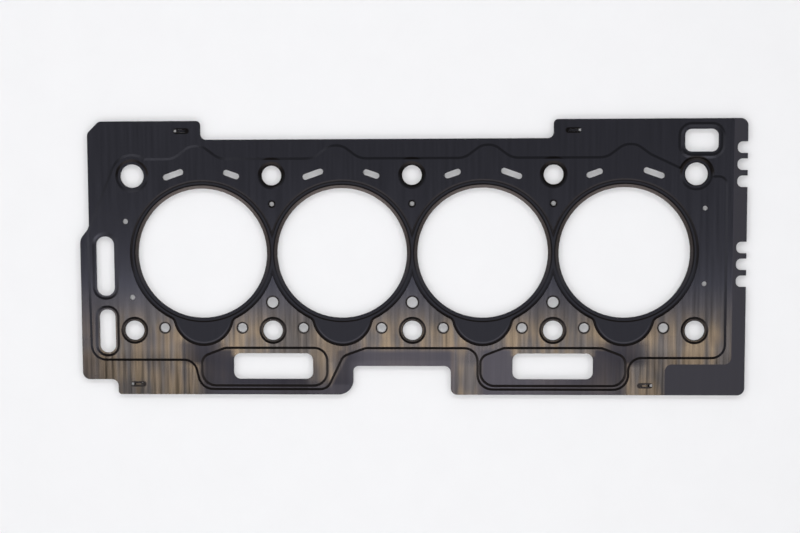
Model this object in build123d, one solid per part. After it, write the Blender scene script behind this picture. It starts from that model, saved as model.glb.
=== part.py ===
from build123d import *
import math
import os

# Multi-layer steel cylinder head gasket for an inline four-cylinder engine.
#
# Millimetres. +X runs along the row of cylinders, +Y is across the engine and +Z points to the cylinder head.
# The origin is midway between cylinders 2 and 3 on the bore line, in the plane that the gasket rests on.
# The flat sheets underneath and the embossed sheet on top lie face to face and are clinched together, so they
# are one solid: a plate as thick as all the sheets, with the beads of the top sheet standing on it.

# ---- Sheets, from the lowest up ----
flat_sheet_thicknesses = (0.25, 0.40)
bead_sheet_thickness = 0.25

# ---- Cylinders ----
bore_count = 4
bore_radius = 39.35
bore_web = 6.3
bore_pitch = 2 * bore_radius + bore_web

# ---- Head bolts and locating dowels: two rows, with a hole at each end and at each web ----
bolt_row_from_bore = 7.7
bolt_radius = 5.95
left_dowel_radius = 7.1
right_dowel_radius = 6.8
bolt_land_width = 1.65
dowel_land_width = 2.3

# ---- The lines that everything else is placed from ----
bolt_row_y = bore_radius + bolt_row_from_bore
left_end = -bore_count / 2 * bore_pitch
right_end = bore_count / 2 * bore_pitch
left_web = -bore_pitch
right_web = bore_pitch

# ---- Full bead round each bore: it rises gently from the bore's edge and falls steeply to the land ----
bore_bead_height = 0.20
bore_bead_rise_width = 1.85
bore_bead_fall_width = 0.9

# ---- Half bead: the sloped step between the low lands and the raised field ----
step_height = 0.20
step_width = 1.5

# ---- Land round each bore: a circle with a lobe below it for the hot side of the cylinder ----
bore_land_width = 4.55
lobe_radius = 18.0
lobe_reach_past_land = 12.1
lobe_blend = 4.0

# ---- Half bead round the sealed field, along the middle of its slope ----
field_left_low = left_end - 26.6
field_left_high = left_end - 27.8
field_left_top = 13.0
field_left_bottom = -bolt_row_y - 18.15
field_top = bolt_row_y + 10.15
field_right = right_end + 18.3
field_right_top = bolt_row_y - 1.55
field_right_bottom = -bolt_row_y - 16.75
field_corner = 9.0
field_inner_corner = 8.0
field_right_top_corner = 5.0
left_dowel_field_radius = 12.7
right_dowel_field_radius = 10.0
right_slope_start = (right_end - bore_pitch / 2 + 15.0, bolt_row_y + 12.05)
right_slope_end = (right_end - 7.0, bolt_row_y + 2.35)
right_shelf_start = right_end + 5.0

hump_rise = 7.8
hump_shift = 3.3
hump_foot_half = 14.2
hump_head_half = 3.8
hump_foot_radius = 12.0
hump_head_radius = 10.0

# ---- The bays of the sealed field round the two drain windows, and the neck between them ----
bay_half = 45.5
bay_mouth_half = 48.5
neck_from_web = 56.5
bay_bottom = -bolt_row_y - 36.15
right_bay_left = right_web - bay_half
right_bay_right = right_web + bay_half
left_bay_left_foot = left_web - 44.3
left_bay_left_mouth = left_web - bay_mouth_half
left_bay_right_foot = left_web + 33.0
left_bay_right_mouth = (left_web + 42.7, -bolt_row_y - 15.85)
left_bay_right_radius = 7.0
between_bays_y = -bolt_row_y - 10.85
between_bays_left = left_web + neck_from_web
between_bays_radius = 6.0

# ---- Half bead loop round each drain window, along the middle of its slope ----
loop_top = -bolt_row_y - 10.75
loop_shoulder = -bolt_row_y - 16.25
loop_bottom = -bolt_row_y - 33.95
loop_half = 43.8
loop_top_half = 29.5
left_loop_right = left_web + 33.0
loop_shoulder_radius = 6.0
loop_top_radius = 8.0
loop_bottom_radius = 8.5

# ---- Outer edge ----
left_edge = left_end - 32.6
right_edge = right_end + 30.3
top_recess_edge = field_top + 11.55
top_edge = top_recess_edge + 11.35
bottom_recess_edge = -bolt_row_y - 21.85
bottom_edge = bottom_recess_edge - 17.6
edge_corner = 4.4

upper_left_edge = left_edge + 5.55
upper_left_chamfer = 7.1
upper_left_chamfer_blend = 4.0
left_jog_low = 8.8
left_jog_high = left_jog_low + 7.0
left_jog_low_radius = 7.0
left_jog_high_radius = 3.0

top_recess_left = left_end + 42.0
top_recess_right = right_web
top_recess_corner = 2.6
top_recess_root = 3.6

bottom_recess_left_reach = 48.9
bottom_recess_right_reach = 61.7
bottom_recess_left = left_web + bottom_recess_left_reach
bottom_recess_right = right_web - bottom_recess_right_reach
bottom_recess_big_corner = 9.0
bottom_recess_corner = 3.8
bottom_recess_left_root = 3.2
bottom_recess_right_root = 4.0

left_recess_right = left_edge + 21.9
left_recess_edge = bottom_edge + 9.2
left_recess_corner = 2.0
left_recess_root = 4.0

# ---- Two rows of U-shaped notches in the right edge ----
notch_width = 6.9
notch_depth = 6.1
notch_root = 3.0
notch_gap = 3.25
notches_per_row = 3
notch_row_tops = (top_edge - 17.25, 3.0)

# ---- Coolant holes ----
jet_radius = 3.3
jet_y = 9.45 - bore_radius
side_coolant_radius = 2.8
side_coolant_y = 1.55 - bolt_row_y
side_coolant_from_bore = 23.8

# ---- Slanted coolant slots over each bore ----
slot_radius = 1.8
slot_y = bolt_row_y + 0.7
slot_tilt = 19.3
long_slot_length = 13.1
short_slot_length = 10.1
long_slot_from_bore = 17.4
short_slot_from_bore = 18.0

# ---- Small holes ----
web_vent_radius = 1.45
web_vent_y = bore_radius - 9.55
left_vent_radius = 1.6
left_vents = ((left_end - 4.55, 19.55), (left_end - 1.0, -26.85))
right_vent_radius = 1.45
right_vents = ((right_end + 5.46, 26.6), (right_end + 5.46, -18.85))

# ---- Large windows: centre x, centre y, width, height, corner radius ----
upper_oval = (left_end - 17.35, field_left_top - 20.7, 11.0, 36.2, 5.2)
lower_oval = (left_end - 16.7, -bolt_row_y - 0.45, 9.8, 26.5, 4.6)
corner_window = (right_end + 3.05, top_edge - 13.0, 19.9, 13.5, 3.9)
left_drain = (left_web, -bolt_row_y - 22.0, 48.6, 15.8, 4.2)
right_drain = (right_web, -bolt_row_y - 22.0, 48.6, 15.8, 4.2)
window_land_width = 1.75
window_frame_width = 1.6

# ---- Clinch joints: a strip lanced between two slits and pressed up through all the sheets ----
clinch_length = 5.6
clinch_strip_width = 1.3
clinch_slit_width = 0.2
clinch_rise = 0.30
clinch_ramp = 1.2
clinch_hole_size = 1.6
clinch_hole_reach = 3.8

# Each clinch: centre x, centre y, and the side that its square hole is on.
clinches = (
    (left_end + 30.4, top_edge - 6.0, -1),
    (right_web + 11.7, top_edge - 6.6, 1),
    (left_end + 1.9, bottom_edge + 6.3, -1),
    (right_end - 29.4, bottom_edge + 5.75, 1),
)

# ---- What follows from the sizes above ----
plate_thickness = sum(flat_sheet_thicknesses) + bead_sheet_thickness
bead_crest_radius = bore_radius + bore_bead_rise_width
bead_outer_radius = bead_crest_radius + bore_bead_fall_width
bore_land_radius = bore_radius + bore_land_width
lobe_drop = bore_land_radius + lobe_reach_past_land - lobe_radius
step_angle = math.degrees(math.atan2(step_width, step_height))
notch_pitch = notch_width + notch_gap
hump_top = field_top + hump_rise
bore_xs = [left_end + (i + 0.5) * bore_pitch for i in range(bore_count)]
bolt_xs = [left_end + i * bore_pitch for i in range(bore_count + 1)]
cut_depth = plate_thickness + clinch_rise + step_height

# Hole radius and land width of each hole in the upper row: a dowel at either end, bolts between them.
upper_row = {x: (bolt_radius, bolt_land_width) for x in bolt_xs}
upper_row[bolt_xs[0]] = (left_dowel_radius, dowel_land_width)
upper_row[bolt_xs[-1]] = (right_dowel_radius, dowel_land_width)


def closed_face(corners):
    """A flat face with straight sides and round corners, each corner given as (x, y, radius)."""
    points = [(x, y) for x, y, radius in corners]
    return make_face(FilletPolyline(*points, radius=[radius for x, y, radius in corners], close=True))


def window_face(window, border=0.0):
    """The face of a window, or of the window with a border all round it."""
    x, y, width, height, radius = window
    return Pos(x, y) * RectangleRounded(width + 2 * border, height + 2 * border, radius + border)


def tangent_point(outside, centre, radius):
    """Where the line from an outside point touches a circle, on the circle's clockwise side."""
    reach = outside - centre
    turn = math.degrees(math.acos(radius / reach.length))
    return centre + reach.normalized().rotate(Axis.Z, -turn) * radius


# ---------------------------------------------------------------- beads
def raised_block(face):
    """A block one half bead high: its slope is centred on the edge of the face and narrows upward."""
    foot = offset(face, step_width / 2, kind=Kind.ARC).faces()[0]
    return extrude(foot, step_height, taper=step_angle)


def sunk_block(face):
    """The space over a low land, up to the level of the raised field: a raised block upside down."""
    return Pos(0, 0, step_height) * mirror(raised_block(face), about=Plane.XY)


def field_outline():
    """The sealed field, to the middle of its half bead."""
    left_dowel = Vector(bolt_xs[0], bolt_row_y)
    top_left = Vector(field_left_high, field_left_top)
    touch = tangent_point(top_left, left_dowel, left_dowel_field_radius)
    corners = [
        (top_left.X, top_left.Y, field_corner),
        (touch.X, touch.Y, 0),
        (left_dowel.X, field_top, 0),
    ]
    for x in bore_xs:
        hump_x = x + math.copysign(hump_shift, x)
        corners += [
            (hump_x - hump_foot_half, field_top, hump_foot_radius),
            (hump_x - hump_head_half, hump_top, hump_head_radius),
            (hump_x + hump_head_half, hump_top, hump_head_radius),
            (hump_x + hump_foot_half, field_top, hump_foot_radius),
        ]
    corners[-1] = (*right_slope_start, hump_foot_radius)
    corners += [
        (*right_slope_end, 0),
        (right_shelf_start, field_right_top, 0),
        (field_right, field_right_top, field_right_top_corner),
        (field_right, field_right_bottom, field_inner_corner),
        (right_bay_right, field_right_bottom, field_inner_corner),
        (right_bay_right, bay_bottom, field_corner),
        (right_bay_left, bay_bottom, field_corner),
        (right_bay_left, between_bays_y, field_inner_corner),
        (between_bays_left, between_bays_y, between_bays_radius),
        (*left_bay_right_mouth, between_bays_radius),
        (left_bay_right_foot, bay_bottom, left_bay_right_radius),
        (left_bay_left_foot, bay_bottom, field_corner),
        (left_bay_left_mouth, field_left_bottom, field_inner_corner),
        (field_left_low, field_left_bottom, field_corner),
    ]
    field = closed_face(corners)
    field += Pos(left_dowel) * Circle(left_dowel_field_radius)
    field += Pos(bolt_xs[-1], bolt_row_y) * Circle(right_dowel_field_radius)
    return field.faces()[0]


def bore_land():
    """The land round one bore: a circle and a lobe below it, with hollow blends between the two."""
    reach = bore_land_radius + lobe_blend
    lobe_reach = lobe_radius + lobe_blend
    blend_y = -(reach**2 - lobe_reach**2 + lobe_drop**2) / (2 * lobe_drop)
    blend = Vector(math.sqrt(reach**2 - blend_y**2), blend_y)
    lobe = Vector(0, -lobe_drop)
    on_circle = blend * (bore_land_radius / reach)
    on_lobe = lobe + (blend - lobe) * (lobe_radius / lobe_reach)
    hollow = blend + ((on_circle + on_lobe) * 0.5 - blend).normalized() * lobe_blend

    def mirrored(point):
        return (-point.X, point.Y)

    edge = [
        ThreePointArc(on_circle, (0, bore_land_radius), mirrored(on_circle)),
        ThreePointArc(mirrored(on_circle), mirrored(hollow), mirrored(on_lobe)),
        ThreePointArc(mirrored(on_lobe), (0, -lobe_drop - lobe_radius), on_lobe),
        ThreePointArc(on_lobe, hollow, on_circle),
    ]
    return make_face(edge)


def drain_loops():
    """The half bead loops round the two drain windows. The left one ends square beside the bottom recess."""
    right_x = right_drain[0]
    left_x = left_drain[0]

    def left_side(x):
        return [
            (x - loop_half, loop_bottom, loop_bottom_radius),
            (x - loop_half, loop_shoulder, loop_shoulder_radius),
            (x - loop_top_half, loop_top, loop_top_radius),
        ]

    right_side = [
        (right_x + loop_top_half, loop_top, loop_top_radius),
        (right_x + loop_half, loop_shoulder, loop_shoulder_radius),
        (right_x + loop_half, loop_bottom, loop_bottom_radius),
    ]
    square_end = [
        (left_loop_right, loop_top, loop_top_radius),
        (left_loop_right, loop_bottom, loop_bottom_radius),
    ]
    return [closed_face(left_side(left_x) + square_end), closed_face(left_side(right_x) + right_side)]


def low_lands():
    """Every land inside the sealed field: round bolts, dowels, bores, ovals and drain windows."""
    lands = [Pos(x, -bolt_row_y) * Circle(bolt_radius + bolt_land_width) for x in bolt_xs]
    lands += [Pos(x, bolt_row_y) * Circle(radius + width) for x, (radius, width) in upper_row.items()]
    lands += [Pos(x, 0) * bore_land() for x in bore_xs]
    lands += [window_face(oval, window_land_width) for oval in (upper_oval, lower_oval)]
    return lands + drain_loops()


def bore_bead():
    """The ridge round one bore, as high as the raised field."""
    crest = (bead_crest_radius, bore_bead_height)
    section = Polyline((bore_radius, 0), crest, (bead_outer_radius, 0), close=True)
    return revolve(Plane.XZ * make_face(section), Axis.Z)


def window_frame(window):
    """The raised frame round a window that lies outside the sealed field."""
    frame = raised_block(window_face(window, window_land_width + window_frame_width))
    return frame - sunk_block(window_face(window, window_land_width))


def beads():
    """Everything that the top sheet's forming raises over its lands, standing on z = 0."""
    field = raised_block(field_outline()) - [sunk_block(land) for land in low_lands()]
    ridge = bore_bead()
    return field + [Pos(x, 0, 0) * ridge for x in bore_xs] + window_frame(corner_window)


# ---------------------------------------------------------------- plate
def outer_edge():
    """The outer edge of the sheets, with the two rows of notches in its right side."""
    edge = closed_face(
        [
            (left_edge, left_jog_low, left_jog_low_radius),
            (upper_left_edge, left_jog_high, left_jog_high_radius),
            (upper_left_edge, top_edge - upper_left_chamfer, upper_left_chamfer_blend),
            (upper_left_edge + upper_left_chamfer, top_edge, upper_left_chamfer_blend),
            (top_recess_left, top_edge, top_recess_corner),
            (top_recess_left, top_recess_edge, top_recess_root),
            (top_recess_right, top_recess_edge, top_recess_root),
            (top_recess_right, top_edge, top_recess_corner),
            (right_edge, top_edge, edge_corner),
            (right_edge, bottom_edge, edge_corner),
            (bottom_recess_right, bottom_edge, bottom_recess_corner),
            (bottom_recess_right, bottom_recess_edge, bottom_recess_right_root),
            (bottom_recess_left, bottom_recess_edge, bottom_recess_left_root),
            (bottom_recess_left, bottom_edge, bottom_recess_big_corner),
            (left_recess_right, bottom_edge, left_recess_corner),
            (left_recess_right, left_recess_edge, left_recess_root),
            (left_edge, left_recess_edge, edge_corner),
        ]
    )
    notch = RectangleRounded(2 * notch_depth, notch_width, notch_root)
    row = [(right_edge, top - i * notch_pitch) for top in notch_row_tops for i in range(notches_per_row)]
    return edge - [Pos(x, y) * notch for x, y in row]


def passages():
    """Every opening that goes through the sheets, as flat faces."""
    faces = [Pos(x, 0) * Circle(bore_radius) for x in bore_xs]
    faces += [Pos(x, -bolt_row_y) * Circle(bolt_radius) for x in bolt_xs]
    faces += [Pos(x, bolt_row_y) * Circle(radius) for x, (radius, width) in upper_row.items()]
    for x in bolt_xs[1:-1]:
        faces.append(Pos(x, jet_y) * Circle(jet_radius))
        faces.append(Pos(x, web_vent_y) * Circle(web_vent_radius))
    for x in bore_xs:
        outward = math.copysign(1, x)
        for side in (-1, 1):
            faces.append(Pos(x + side * side_coolant_from_bore, side_coolant_y) * Circle(side_coolant_radius))
            is_long = side == outward
            reach = long_slot_from_bore if is_long else short_slot_from_bore
            length = long_slot_length if is_long else short_slot_length
            slot = SlotOverall(length, 2 * slot_radius, rotation=-side * slot_tilt)
            faces.append(Pos(x + side * reach, slot_y) * slot)
    faces += [Pos(x, y) * Circle(left_vent_radius) for x, y in left_vents]
    faces += [Pos(x, y) * Circle(right_vent_radius) for x, y in right_vents]
    faces += [window_face(w) for w in (upper_oval, lower_oval, corner_window, left_drain, right_drain)]
    return faces


# ---------------------------------------------------------------- clinches
def clinch_ridge():
    """What one lanced strip is raised by: a ramp at either end and a flat between them."""
    half = clinch_length / 2
    flat_half = half - clinch_ramp
    side = Polyline((-half, 0), (-flat_half, clinch_rise), (flat_half, clinch_rise), (half, 0), close=True)
    return extrude(Plane.XZ * make_face(side), clinch_strip_width / 2, both=True)


def clinch_cuts(side):
    """The two slits beside one strip and the square hole at its end."""
    slit_y = (clinch_strip_width + clinch_slit_width) / 2
    slit = Rectangle(clinch_length, clinch_slit_width)
    hole = Pos(side * clinch_hole_reach, 0) * Rectangle(clinch_hole_size, clinch_hole_size)
    return [Pos(0, slit_y) * slit, Pos(0, -slit_y) * slit, hole]


# ---------------------------------------------------------------- gasket
def gasket():
    """The plate and its beads, pierced and clinched."""
    body = extrude(outer_edge(), plate_thickness) + Pos(0, 0, plate_thickness) * beads()
    ridge = clinch_ridge()
    raised = [Pos(x, y, plate_thickness) * ridge for x, y, side in clinches]
    hollow = [Pos(x, y, 0) * ridge for x, y, side in clinches]
    cuts = passages()
    for x, y, side in clinches:
        cuts += [Pos(x, y) * cut for cut in clinch_cuts(side)]
    return (body + raised) - hollow - [extrude(cut, cut_depth, both=True) for cut in cuts]


gasket_sheets = gasket()
gasket_sheets.label = "gasket_sheets"
os.makedirs("parts", exist_ok=True)
export_step(gasket_sheets, "parts/gasket_sheets.step")
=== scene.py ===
"""Studio scene of a coated multi-layer steel head gasket lying flat, seen from almost straight above."""
import math

import bmesh
import bpy
from mathutils import Euler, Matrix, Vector

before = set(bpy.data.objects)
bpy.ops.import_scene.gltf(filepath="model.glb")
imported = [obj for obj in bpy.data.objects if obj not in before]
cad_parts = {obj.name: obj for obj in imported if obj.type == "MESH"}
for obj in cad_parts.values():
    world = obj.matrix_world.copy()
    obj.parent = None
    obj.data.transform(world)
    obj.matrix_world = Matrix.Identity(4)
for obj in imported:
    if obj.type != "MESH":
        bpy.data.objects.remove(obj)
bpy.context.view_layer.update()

MM = 0.001

# ---- Where the gasket's features lie, in millimetres ----
BORE_PITCH = 85.0
FIRST_BORE_X = -127.5
LAST_BORE = 3
BEAD_CREST_RADIUS = 41.4
BORE_LAND_RADIUS = 43.7
LOBE_RADIUS = 17.8
LOBE_DROP = 38.0
# The radius of the faint painted highlight ring inside each lobe.
LOBE_RING_RADIUS = 16.5
# Each row of round holes: how far it lies aside from the nearest bore, how far up, and its radius.
BOLT_HOLE = (BORE_PITCH / 2, 47.05, 5.95)
COOLANT_HOLE = (23.8, -45.5, 2.8)
JET_HOLE = (BORE_PITCH / 2, -29.9, 3.3)
VENT_HOLE = (BORE_PITCH / 2, 29.8, 1.45)
CLINCHES = ((-139.6, 74.1), (96.7, 73.5), (-168.1, -80.2), (140.6, -80.75))
DRAIN_X = 85.0
FIELD_LEFT = -190.0
FIELD_RIGHT = 184.0
END_STRIP_X = 192.3
END_STRIP_CORNER = 4.5
END_PLATE_LEFT = 152.5
END_PLATE_TOP = -67.75
END_PLATE_CORNER = 4.2
SHEET_JOINTS = (0.25, 0.65)

# ---- Zones of the coat, and of its painted shade and highlights, in millimetres: where an edge of each lies, and over how much it fades ----
LAND_FADE = 0.5
MATT_END_FADE = 0.4
# The ring inside each bead's crest, which isn't matt towards the rear and has a painted highlight there.
INSIDE_CREST = (BEAD_CREST_RADIUS, 0.6)
REAR_OF_BORES = (-10.0, 30.0)
# The front third, where the coat is thin.
THIN_COAT = (-32.0, 26.0)
# Painted shade near the front edge: first the drain bays, less the part over each drain window and most of the end
# of the left bay.
BAY_SIDE = (44.0, 6.0)
BAY_TOP = (-58.5, 3.0)
DRAIN_SIDE = (25.0, 3.0)
DRAIN_TOP = (-63.0, 2.0)
BAY_END_X = -54.0
BAY_END_SIDE = (9.0, 8.0)
BAY_END_FOOT = (-80.0, 6.0)
BAY_END_LOSS = 0.8
# The painted shade along the neck between the bays. Its left side slants with the bead beside it.
NECK_TOP = (-59.0, 4.0)
NECK_RIGHT = (25.0, 6.0)
NECK_LEFT = (38.5, 4.0)
NECK_SLANT = 0.54
# The painted shade at the left end, less in its lower part.
LEFT_END = (FIELD_LEFT, 14.0)
LEFT_END_FOOT = (-36.0, 14.0)
LEFT_END_SHARE = 0.9
LEFT_END_LOSS = 0.4
# The painted shade under the lobes, less under the two middle ones.
UNDER_LOBE_SIDE = (12.0, 14.0)
UNDER_LOBE_TOP = (-54.0, 4.0)
UNDER_LOBE_FOOT = (-68.0, 4.0)
MIDDLE_LOBES = (85.0, 10.0)
UNDER_LOBE_SHARE = 0.9
MIDDLE_LOBE_LOSS = 0.5
# Where the painted shade is paler: over the right bay, at the left end, along the neck and at the front margin.
PALE_BAY_X = 60.0
PALE_BAY_SIDE = (34.0, 44.0)
PALE_BAY_SHARE = 0.9
PALE_LEFT_END = (FIELD_LEFT, 10.0)
PALE_NECK_SIDE = (34.0, 12.0)
PALE_NECK_FOOT = (-66.5, 3.0)
PALE_NECK_SHARE = 0.8
PALE_NECK_GAIN = 0.5
PALE_MARGIN = (-80.3, 1.5)
PALE_MARGIN_SHARE = 0.4
# Where the thin coat is warm, and the places where it is cooler or dimmer.
WARM_FRONT = (-40.0, 18.0)
COOL_X = -72.0
COOL_SIDE = (12.0, 10.0)
COOL_TOP = (-36.0, 16.0)
COOL_LOSS = 0.8
COOL_DIMMING = 0.22
DIM_END = (125.0, 20.0)
DIM_TOP = (-62.0, 8.0)
END_DIMMING = 0.32
# The painted highlight inside the crest of each bore's bead, and the faint painted highlight ring inside each lobe.
BRIGHT_CREST = (BEAD_CREST_RADIUS, 0.4)
LOBE_RING_HALF = (0.3, 0.2)
LOBE_RING_TOP = (-46.0, 8.0)
# The width of the painted shade round the punched holes.
UPPER_BOLT_RIM = 1.3
LOWER_BOLT_RIM = 0.7
LOWER_BOLTS = (0.0, 20.0)
HOLE_RIM = 0.9
RIM_FADE = 0.3
WEBS = (-FIRST_BORE_X, 1.0)
# The painted shade round each clinch, and the flat strip in its middle, which it mostly leaves out.
CLINCH_SHADE_HALF_LENGTH = 3.0
CLINCH_SHADE_RADIUS = (1.7, 0.5)
STRIP_HALF_LENGTH = (2.8, 0.4)
STRIP_HALF_WIDTH = (0.5, 0.3)
STRIP_LOSS = 0.8
# The slopes that lie in shade: towards the front, above the bolt holes and round the bores.
FRONT_SLOPES = (-26.0, 24.0)
LEFT_BEAD = (FIELD_LEFT, 4.0)
RIGHT_BEAD = (FIELD_RIGHT, 4.0)
SIDE_BEAD_LOSS = 0.8
BOLT_LAND = (5.0, 0.5)
ABOVE_BOLTS = (BOLT_HOLE[1], 3.0)
BORE_SLOPES = (46.0, 1.0)
REAR_BORE_SLOPES = (-10.0, 10.0)
BORE_SLOPE_SHARE = 0.8
# How upright the surface's normal is on a slope and on a cut edge, and the joints between the sheets.
SLOPE_LEVEL = (0.9925, 0.001)
CUT_EDGE_LEVEL = (0.5, 0.1)
SEAM_HALF_WIDTH = (0.02, 0.02)

# ---- Patterns left by the rolls and the coater, and patches of painted shade, in millimetres across and along the rolling direction ----
# The real rolling lines are finer than 0.1 mm. Both kinds of streak are drawn as coarse as they need to show.
BROAD_STREAKS = (5.5, 90.0)
FINE_STREAKS = (2.2, 60.0)
# Random patches of painted shade near the front edge.
SHADE_PATCHES = (45.0, 30.0)
TINT_PATCHES = (26.0, 22.0)
PLAIN_DETAIL = 1.0
FINE_DETAIL = 3.0
DETAIL_ROUGHNESS = 0.6
# Each pattern counts from its middle, and its gain says how strongly it shows.
PATTERN_MIDDLE = 0.5
SHADE_PATCH_MIDDLE = 0.54
SHADE_PATCH_GAIN = 0.7
BROAD_STREAK_MIDDLE = 0.34
BROAD_STREAK_GAIN = 2.8
TINT_PATCH_GAIN = 2.2
STREAK_GAIN = 0.4
THIN_STREAK_GAIN = 1.4
STREAK_DEPTH = 0.02
STREAK_BUMP = 0.05

# ---- Finish: steel under a smooth coat is glossy, and where the coat is matt it is rougher by the gain ----
GLOSSY_ROUGHNESS = 0.2
MATT_ROUGHNESS_GAIN = 0.36
STREAK_ROUGHNESS_GAIN = 0.06
# The zones of painted shade near the front edge are also rougher, by this share of the matt gain.
FRONT_SHADE_MATT = 0.5
FULL_COAT = "#2E2E34"
# Tones of the painted shade near the front edge, and of its paler parts.
FRONT_SHADE = "#26252A"
PALE_FRONT_SHADE = "#3A383D"
COOL_STEEL = "#343130"
WARM_STEEL = "#483F35"
# Tone of the painted highlight inside the rear crest of each bore's bead.
CREST_HIGHLIGHT = "#2F2B2A"
LAND_COAT = "#27272C"
# Tone of the faint painted highlight ring inside each lobe.
LOBE_RING_HIGHLIGHT = "#3A393E"
MATT_END_COAT = "#343338"
# Painted shade on every bead slope, and below it the darker painted shade on the slopes in shade, round the holes
# and round the clinches.
SLOPE_SHADE = "#222226"
SHADED_COAT = "#151313"
CUT_STEEL = "#5F5C58"
SHEET_SEAM = "#0E0D0D"

# ---- Camera, in millimetres and radians ----
CAMERA_PLACE = (17.5, 41.5, 725.4)
CAMERA_TURN = (-0.0685, 0.0341, -0.0037)
FOCAL_PIXELS = 1200.0
IMAGE_WIDTH = 800
SENSOR_WIDTH = 36.0

# ---- Lamps, in millimetres: the two edges of each softbox along X, and its rear and front edge along Y ----
SOFTBOX_HEIGHT = 850.0
FRONT_SOFTBOX = ((-460.0, 460.0), (-122.0, -274.0))
FRONT_SOFTBOX_TURN = -0.05
FRONT_SOFTBOX_RADIANCE = 5.8
LEFT_SOFTBOX = ((-800.0, -590.0), (100.0, -250.0))
LEFT_SOFTBOX_RADIANCE = 3.0
RIGHT_SOFTBOX = ((480.0, 700.0), (130.0, -150.0))
RIGHT_SOFTBOX_RADIANCE = 2.1
REAR_SOFTBOX = ((-560.0, -260.0), (400.0, 250.0))
REAR_SOFTBOX_RADIANCE = 2.8
REAR_LAMP_PLACE = (0.0, 900.0, 380.0)
REAR_LAMP_WIDTH = 1200.0
REAR_LAMP_DEPTH = 260.0
REAR_LAMP_RADIANCE = 2.5

# ---- Room: how strongly its parts shine, and the top of the bright belt as a share of straight up ----
HORIZON_BELT = 5.2
HORIZON_BELT_TOP = (0.34, 0.1)
CEILING = 0.78
BACKDROP = 0.92
WHITE = (1, 1, 1, 1)

# ---- Floor: its width in metres, and the mottle of its paper in millimetres ----
FLOOR_SIZE = 14.0
BOARD_MOTTLE = 25.0
BOARD_MOTTLE_DETAIL = 3.0
BOARD_DARKER = "#F0F0F2"
BOARD_LIGHTER = "#F3F3F5"
BOARD_ROUGHNESS = 0.9

# ---- Mix nodes, for colours and for numbers ----
COLOUR_MIX = ("ShaderNodeMix", {"data_type": "RGBA"})
NUMBER_MIX = ("ShaderNodeMix", {"data_type": "FLOAT"})


def linear(hex_colour):
    """An sRGB hex colour as linear RGBA."""
    parts = [int(hex_colour[i : i + 2], 16) / 255 for i in (1, 3, 5)]
    return tuple(c / 12.92 if c <= 0.04045 else ((c + 0.055) / 1.055) ** 2.4 for c in parts) + (1.0,)


def add_node(tree, kind, settings=None, inputs=None):
    """A node with its settings, and with each input linked to a socket or an amount, or set to a value."""
    node = tree.nodes.new(kind)
    for name, value in (settings or {}).items():
        setattr(node, name, value)
    for key, value in (inputs or {}).items():
        value = value.socket if isinstance(value, Amount) else value
        if isinstance(value, bpy.types.NodeSocket):
            tree.links.new(value, node.inputs[key])
        else:
            node.inputs[key].default_value = value
    return node


def new_material(name):
    """An empty material with its output and one Principled shader."""
    material = bpy.data.materials.new(name)
    material.use_nodes = True
    tree = material.node_tree
    tree.nodes.clear()
    shader = add_node(tree, "ShaderNodeBsdfPrincipled")
    add_node(tree, "ShaderNodeOutputMaterial", inputs={"Surface": shader.outputs[0]})
    return material, tree, shader


class Amount:
    """A number that varies over a surface, such as a distance in millimetres or how much of a zone is there, so
    that zones can be written as sums. The | sign takes the larger of two."""

    def __init__(self, tree, socket):
        self.tree = tree
        self.socket = socket

    def work(self, operation, *others, clamp=False):
        """The amount that an operation gives, held between 0 and 1 where clamp is set."""
        inputs = dict(enumerate((self, *others)))
        node = add_node(self.tree, "ShaderNodeMath", {"operation": operation, "use_clamp": clamp}, inputs)
        return Amount(self.tree, node.outputs[0])

    def __add__(self, other):
        return self.work("ADD", other)

    def __sub__(self, other):
        return self.work("SUBTRACT", other)

    def __rsub__(self, number):
        return self * -1.0 + number

    def __mul__(self, other):
        return self.work("MULTIPLY", other)

    def __or__(self, other):
        return self.work("MAXIMUM", other)

    def __abs__(self):
        return self.work("ABSOLUTE")

    def below(self, edge, fade):
        """1 where the number is below an edge, 0 above it, with a soft change between."""
        return ((self - edge) * (-1.0 / fade)).work("ADD", 0.5, clamp=True)

    def above(self, edge, fade):
        """1 where the number is above an edge, 0 below it, with a soft change between."""
        return ((self - edge) * (1.0 / fade)).work("ADD", 0.5, clamp=True)


def distance(aside, up):
    """How far a point is from a feature that it lies aside and up from."""
    return (aside * aside + up * up).work("SQRT")


def aside_from_bore(x):
    """How far a point lies aside from the middle of the nearest bore."""
    nearest = ((x - (FIRST_BORE_X - BORE_PITCH / 2)) * (1 / BORE_PITCH)).work("FLOOR")
    nearest = nearest.work("MAXIMUM", 0.0).work("MINIMUM", float(LAST_BORE))
    return x - (nearest * BORE_PITCH + FIRST_BORE_X)


def past_edge(folded, height, hole):
    """How far a point is past the edge of the nearest hole of a row."""
    aside, up, radius = hole
    return distance(folded - aside, height - up) - radius


def bore_lands(y, from_bore, from_lobe):
    """The matt lands round the bores and their lobes, less the ring inside each bead's crest towards the rear,
    where a highlight is painted.
    """
    land = from_bore.below(BORE_LAND_RADIUS, LAND_FADE) | from_lobe.below(LOBE_RADIUS, LAND_FADE)
    return land * (1.0 - from_bore.below(*INSIDE_CREST) * y.above(*REAR_OF_BORES))


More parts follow.
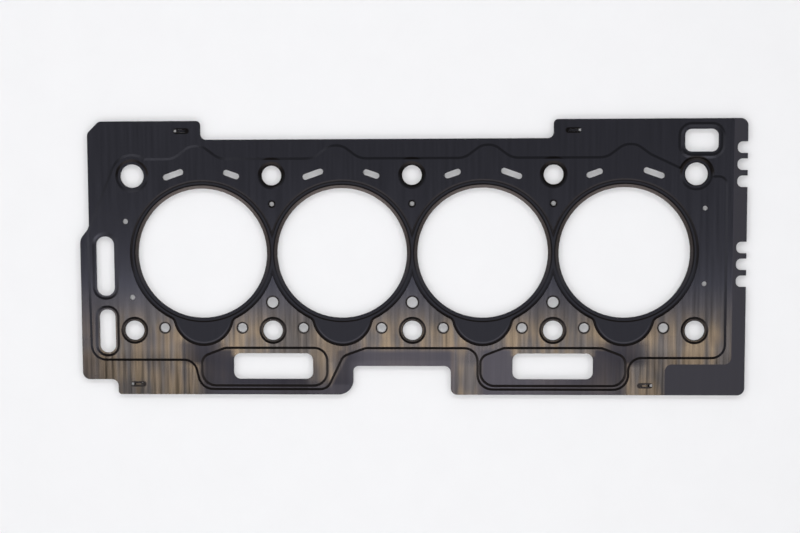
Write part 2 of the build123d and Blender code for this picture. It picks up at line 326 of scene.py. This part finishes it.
def matt_end(x, y):
    """The matt end strip, which widens to a plate at the lower corner. Both of the plate's corners are round."""
    inward_x = (x - (END_PLATE_LEFT + END_PLATE_CORNER)).work("MINIMUM", 0.0)
    inward_y = (y - (END_PLATE_TOP - END_PLATE_CORNER)).work("MAXIMUM", 0.0)
    plate = distance(inward_x, inward_y).below(END_PLATE_CORNER, MATT_END_FADE)
    inner_x = (x - (END_STRIP_X - END_STRIP_CORNER)).work("MAXIMUM", 0.0)
    inner_y = (y - (END_PLATE_TOP + END_STRIP_CORNER)).work("MINIMUM", 0.0)
    shiny = distance(inner_x, inner_y).below(END_STRIP_CORNER, MATT_END_FADE)
    strip = (1.0 - shiny) * x.above(END_STRIP_X - 2 * END_STRIP_CORNER, MATT_END_FADE)
    return plate | strip


def front_shade_zones(x, y, folded):
    """Where shade is painted near the front edge: in the two drain bays, along the neck between them, at the left
    end and under the lobes."""
    off_drain = abs(abs(x) - DRAIN_X)
    bay = off_drain.below(*BAY_SIDE) * y.below(*BAY_TOP)
    bay = bay * (1.0 - off_drain.below(*DRAIN_SIDE) * y.above(*DRAIN_TOP))
    bay_end = abs(x - BAY_END_X).below(*BAY_END_SIDE) * y.above(*BAY_END_FOOT)
    bay = bay * (1.0 - bay_end * BAY_END_LOSS)
    past_slant = (y - NECK_TOP[0]) * NECK_SLANT - x
    neck = x.below(*NECK_RIGHT) * past_slant.below(*NECK_LEFT) * y.below(*NECK_TOP)
    left_end = x.below(*LEFT_END) * (LEFT_END_SHARE - y.below(*LEFT_END_FOOT) * LEFT_END_LOSS)
    under_lobe = folded.below(*UNDER_LOBE_SIDE) * y.below(*UNDER_LOBE_TOP) * y.above(*UNDER_LOBE_FOOT)
    under_lobe = under_lobe * (UNDER_LOBE_SHARE - abs(x).below(*MIDDLE_LOBES) * MIDDLE_LOBE_LOSS)
    return bay | neck | left_end | under_lobe


def pale_shade_zones(x, y):
    """Where the painted shade near the front edge is paler, from 0 to 1."""
    bay = abs(x - PALE_BAY_X).below(*PALE_BAY_SIDE) * PALE_BAY_SHARE + x.below(*PALE_LEFT_END)
    neck = abs(x).below(*PALE_NECK_SIDE) * (y.below(*PALE_NECK_FOOT) * PALE_NECK_GAIN + PALE_NECK_SHARE)
    return bay | neck | y.below(*PALE_MARGIN) * PALE_MARGIN_SHARE


def shaded_hole_rims(x, y, folded):
    """Painted shade round the rims of the round holes."""
    past_bolt = past_edge(folded, abs(y), BOLT_HOLE)
    past_bolt = past_bolt + y.below(*LOWER_BOLTS) * (UPPER_BOLT_RIM - LOWER_BOLT_RIM)
    coolant, jet, vent = (
        past_edge(folded, y, hole).below(HOLE_RIM, RIM_FADE) for hole in (COOLANT_HOLE, JET_HOLE, VENT_HOLE)
    )
    return past_bolt.below(UPPER_BOLT_RIM, RIM_FADE) | coolant | (jet | vent) * abs(x).below(*WEBS)


def shaded_slopes(x, y, folded, from_bore, slope):
    """The slopes of the beads that lie in shade."""
    side_bead = x.below(*LEFT_BEAD) + x.above(*RIGHT_BEAD)
    front = y.below(*FRONT_SLOPES) * (1.0 - side_bead * SIDE_BEAD_LOSS)
    bolt = past_edge(folded, y, BOLT_HOLE).below(*BOLT_LAND) * y.above(*ABOVE_BOLTS)
    bore = from_bore.below(*BORE_SLOPES) * y.above(*REAR_BORE_SLOPES)
    return slope * (front | bolt | bore * BORE_SLOPE_SHARE)


def clinch_shade(x, y, clinch):
    """Painted shade round one clinch, less the flat strip in its middle."""
    along = abs(x - clinch[0])
    beside = abs(y - clinch[1])
    shade_oval = distance((along - CLINCH_SHADE_HALF_LENGTH).work("MAXIMUM", 0.0), beside).below(*CLINCH_SHADE_RADIUS)
    return shade_oval * (1.0 - along.below(*STRIP_HALF_LENGTH) * beside.below(*STRIP_HALF_WIDTH) * STRIP_LOSS)


def rolled_pattern(tree, place, size, detail):
    """Noise from 0 to 1, drawn out along Y as the rolls leave it, of a given size across and along."""
    across, along = size
    scale = (1 / (across * MM), 1 / (along * MM), 1)
    drawn_out = add_node(tree, "ShaderNodeMapping", inputs={"Vector": place, "Scale": scale})
    noise = add_node(
        tree, "ShaderNodeTexNoise", {"noise_dimensions": "2D"},
        {"Vector": drawn_out.outputs[0], "Scale": 1.0, "Detail": detail, "Roughness": DETAIL_ROUGHNESS},
    )
    return Amount(tree, noise.outputs["Fac"])


def coated_steel():
    """Fluoroelastomer coat, roll-coated on cold-rolled spring steel. To the eye it is a dark glaze with streaks
    along the rolling direction, and the steel's warm tone shows through it near the front edge, where it is thin.
    It is matt on the lands round the bores, where the coat is thicker, and at the end strip. The cut edges show
    bare steel, with a dark seam at each joint between the sheets. Shade is painted into its colour near the front
    edge, on the bead slopes, round the holes and round the clinches, and highlights are painted inside the rear
    crest of each bore's bead and in a ring inside each lobe."""
    material, tree, shader = new_material("fluoroelastomer_coated_steel")
    place = add_node(tree, "ShaderNodeTexCoord").outputs["Object"]
    split = add_node(tree, "ShaderNodeSeparateXYZ", inputs={0: place})
    x, y, z = (Amount(tree, split.outputs[i]) * (1 / MM) for i in range(3))
    aside = aside_from_bore(x)
    folded = abs(aside)
    from_bore = distance(aside, y)
    from_lobe = distance(aside, y + LOBE_DROP)
    normal = add_node(tree, "ShaderNodeNewGeometry").outputs["True Normal"]
    level = abs(Amount(tree, add_node(tree, "ShaderNodeSeparateXYZ", inputs={0: normal}).outputs[2]))

    broad = rolled_pattern(tree, place, BROAD_STREAKS, PLAIN_DETAIL)
    fine = rolled_pattern(tree, place, FINE_STREAKS, FINE_DETAIL) - PATTERN_MIDDLE
    shade_patches = rolled_pattern(tree, place, SHADE_PATCHES, PLAIN_DETAIL)
    tints = rolled_pattern(tree, place, TINT_PATCHES, PLAIN_DETAIL)

    # How thin the coat is towards the front edge, and where shade is painted there, in zones and in random patches.
    thin = y.below(*THIN_COAT)
    front_shade = front_shade_zones(x, y, folded) + (shade_patches - SHADE_PATCH_MIDDLE) * SHADE_PATCH_GAIN
    front_shade = front_shade.work("ADD", 0.0, clamp=True) * thin

    # The steel's tone through the thin coat, and over it the tones of the painted shade near the front edge.
    cool = abs(x - COOL_X).below(*COOL_SIDE) * y.below(*COOL_TOP)
    warmth = (broad - BROAD_STREAK_MIDDLE) * BROAD_STREAK_GAIN + (tints - PATTERN_MIDDLE) * TINT_PATCH_GAIN
    warmth = warmth.work("ADD", 0.0, clamp=True) * y.below(*WARM_FRONT) * (1.0 - cool * COOL_LOSS)
    steel = add_node(tree, *COLOUR_MIX, {"Factor": warmth, "A": linear(COOL_STEEL), "B": linear(WARM_STEEL)})
    glaze = add_node(tree, *COLOUR_MIX, {"Factor": thin, "A": linear(FULL_COAT), "B": steel.outputs["Result"]})
    front_shade_tone = add_node(
        tree, *COLOUR_MIX,
        {"Factor": pale_shade_zones(x, y), "A": linear(FRONT_SHADE), "B": linear(PALE_FRONT_SHADE)},
    )
    coat = add_node(
        tree, *COLOUR_MIX,
        {"Factor": front_shade, "A": glaze.outputs["Result"], "B": front_shade_tone.outputs["Result"]},
    )
    dim_end = abs(x).above(*DIM_END) * y.below(*DIM_TOP)
    shade = fine * ((thin - front_shade) * THIN_STREAK_GAIN + STREAK_GAIN) + 1.0
    shade = shade - dim_end * END_DIMMING - cool * COOL_DIMMING
    streaked = add_node(
        tree, "ShaderNodeVectorMath", {"operation": "SCALE"}, {0: coat.outputs["Result"], "Scale": shade}
    )

    # The places with a tone of their own, each over those before it: painted highlights, the matt lands and end
    # strip, painted shade on slopes, holes and clinches, and the cut edges.
    # A highlight is painted inside each bore's bead crest, towards the rear.
    crest = from_bore.below(*BRIGHT_CREST) * (1.0 - thin)
    land = bore_lands(y, from_bore, from_lobe)
    # A faint highlight ring is painted inside each lobe, on its lower side.
    lobe_ring_highlight = abs(from_lobe - LOBE_RING_RADIUS).below(*LOBE_RING_HALF) * y.below(*LOBE_RING_TOP)
    matt_strip = matt_end(x, y)
    # Painted shade on every bead slope.
    slope = level.below(*SLOPE_LEVEL)
    # Darker painted shade on the slopes in shade and round the hole rims.
    shaded = shaded_slopes(x, y, folded, from_bore, slope) | shaded_hole_rims(x, y, folded)
    # Darker painted shade round each clinch.
    for clinch in CLINCHES:
        shaded = shaded | clinch_shade(x, y, clinch)
    first_joint, second_joint = (abs(z - joint) for joint in SHEET_JOINTS)
    seam = first_joint.work("MINIMUM", second_joint).below(*SEAM_HALF_WIDTH)
    cut_edge = add_node(tree, *COLOUR_MIX, {"Factor": seam, "A": linear(CUT_STEEL), "B": linear(SHEET_SEAM)})
    colour = streaked.outputs[0]
    for zone, tone in (
        (crest, linear(CREST_HIGHLIGHT)),
        (land, linear(LAND_COAT)),
        (lobe_ring_highlight, linear(LOBE_RING_HIGHLIGHT)),
        (matt_strip, linear(MATT_END_COAT)),
        (slope, linear(SLOPE_SHADE)),
        (shaded, linear(SHADED_COAT)),
        (level.below(*CUT_EDGE_LEVEL), cut_edge.outputs["Result"]),
    ):
        colour = add_node(tree, *COLOUR_MIX, {"Factor": zone, "A": colour, "B": tone}).outputs["Result"]

    matt = land | matt_strip | front_shade * FRONT_SHADE_MATT
    roughness = matt * MATT_ROUGHNESS_GAIN + GLOSSY_ROUGHNESS + fine * STREAK_ROUGHNESS_GAIN
    bump = add_node(
        tree, "ShaderNodeBump",
        inputs={"Height": fine, "Strength": STREAK_BUMP, "Distance": STREAK_DEPTH * MM},
    )
    shader.inputs["Metallic"].default_value = 1.0
    tree.links.new(colour, shader.inputs["Base Color"])
    tree.links.new(roughness.socket, shader.inputs["Roughness"])
    tree.links.new(bump.outputs[0], shader.inputs["Normal"])
    return material


def white_board():
    """Pressed paper board, matt white. Its faint mottle keeps the wide floor from looking blank."""
    material, tree, shader = new_material("matt_white_board")
    place = add_node(tree, "ShaderNodeTexCoord").outputs["Object"]
    mottle = add_node(
        tree, "ShaderNodeTexNoise",
        inputs={"Vector": place, "Scale": 1 / (BOARD_MOTTLE * MM), "Detail": BOARD_MOTTLE_DETAIL},
    )
    colour = add_node(
        tree, *COLOUR_MIX,
        {"Factor": mottle.outputs["Fac"], "A": linear(BOARD_DARKER), "B": linear(BOARD_LIGHTER)},
    )
    tree.links.new(colour.outputs["Result"], shader.inputs["Base Color"])
    shader.inputs["Roughness"].default_value = BOARD_ROUGHNESS
    shader.inputs["Specular IOR Level"].default_value = 0.0
    return material


def lay_floor():
    """A wide flat board under the gasket."""
    grid = bmesh.new()
    bmesh.ops.create_grid(grid, x_segments=2, y_segments=2, size=FLOOR_SIZE / 2)
    mesh = bpy.data.meshes.new("floor")
    grid.to_mesh(mesh)
    grid.free()
    floor = bpy.data.objects.new("floor", mesh)
    bpy.context.scene.collection.objects.link(floor)
    floor.data.materials.append(white_board())


def hang_lamp(name, place, width, depth, radiance, turn):
    """A rectangular lamp of a given radiance, turned from facing straight down."""
    lamp = bpy.data.lights.new(name, "AREA")
    lamp.shape = "RECTANGLE"
    lamp.size = width * MM
    lamp.size_y = depth * MM
    lamp.energy = radiance * math.pi * lamp.size * lamp.size_y
    hung = bpy.data.objects.new(name, lamp)
    hung.location = Vector(place) * MM
    hung.rotation_euler = Euler(turn)
    bpy.context.scene.collection.objects.link(hung)


def hang_softbox(name, edges, radiance, turn=0.0):
    """A softbox that faces straight down, between its edges."""
    (left, right), (rear, front) = edges
    place = ((left + right) / 2, (rear + front) / 2, SOFTBOX_HEIGHT)
    hang_lamp(name, place, right - left, rear - front, radiance, (0, 0, turn))


def hang_lamps():
    """A softbox in front, which the flat coat mirrors only along its front edge, smaller ones at the sides and the
    rear, which only the slopes mirror, and a low lamp at the rear."""
    hang_softbox("front_softbox", FRONT_SOFTBOX, FRONT_SOFTBOX_RADIANCE, FRONT_SOFTBOX_TURN)
    hang_softbox("left_softbox", LEFT_SOFTBOX, LEFT_SOFTBOX_RADIANCE)
    hang_softbox("right_softbox", RIGHT_SOFTBOX, RIGHT_SOFTBOX_RADIANCE)
    hang_softbox("rear_softbox", REAR_SOFTBOX, REAR_SOFTBOX_RADIANCE)
    tilt = -math.atan2(REAR_LAMP_PLACE[1], REAR_LAMP_PLACE[2])
    hang_lamp("rear_lamp", REAR_LAMP_PLACE, REAR_LAMP_WIDTH, REAR_LAMP_DEPTH, REAR_LAMP_RADIANCE, (tilt, 0, 0))


def light_room():
    """A room with a dark ceiling and a bright belt near the horizon. The camera sees its white backdrop, and gloss
    sees an even grey ceiling."""
    world = bpy.data.worlds.new("studio_room")
    world.use_nodes = True
    tree = world.node_tree
    tree.nodes.clear()
    ray = add_node(tree, "ShaderNodeLightPath").outputs
    direction = add_node(tree, "ShaderNodeTexCoord").outputs["Generated"]
    height = Amount(tree, add_node(tree, "ShaderNodeSeparateXYZ", inputs={0: direction}).outputs[2])
    belt = height.below(*HORIZON_BELT_TOP) * HORIZON_BELT
    gloss = Amount(tree, ray["Is Glossy Ray"]) | Amount(tree, ray["Is Transmission Ray"])
    shine = add_node(tree, *NUMBER_MIX, {"Factor": gloss, "A": belt, "B": CEILING})
    strength = add_node(
        tree, *NUMBER_MIX, {"Factor": ray["Is Camera Ray"], "A": shine.outputs["Result"], "B": BACKDROP}
    )
    background = add_node(
        tree, "ShaderNodeBackground", inputs={"Color": WHITE, "Strength": strength.outputs["Result"]}
    )
    add_node(tree, "ShaderNodeOutputWorld", inputs={"Surface": background.outputs[0]})
    bpy.context.scene.world = world


def place_camera():
    """A camera almost straight above the gasket."""
    data = bpy.data.cameras.new("camera")
    data.sensor_width = SENSOR_WIDTH
    data.lens = FOCAL_PIXELS / IMAGE_WIDTH * SENSOR_WIDTH
    camera = bpy.data.objects.new("camera", data)
    camera.location = Vector(CAMERA_PLACE) * MM
    camera.rotation_euler = Euler(CAMERA_TURN)
    bpy.context.scene.collection.objects.link(camera)
    bpy.context.scene.camera = camera


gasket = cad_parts["gasket_sheets"]
gasket.data.materials.clear()
gasket.data.materials.append(coated_steel())
lay_floor()
hang_lamps()
light_room()
place_camera()
bpy.context.scene.view_settings.view_transform = "Standard"
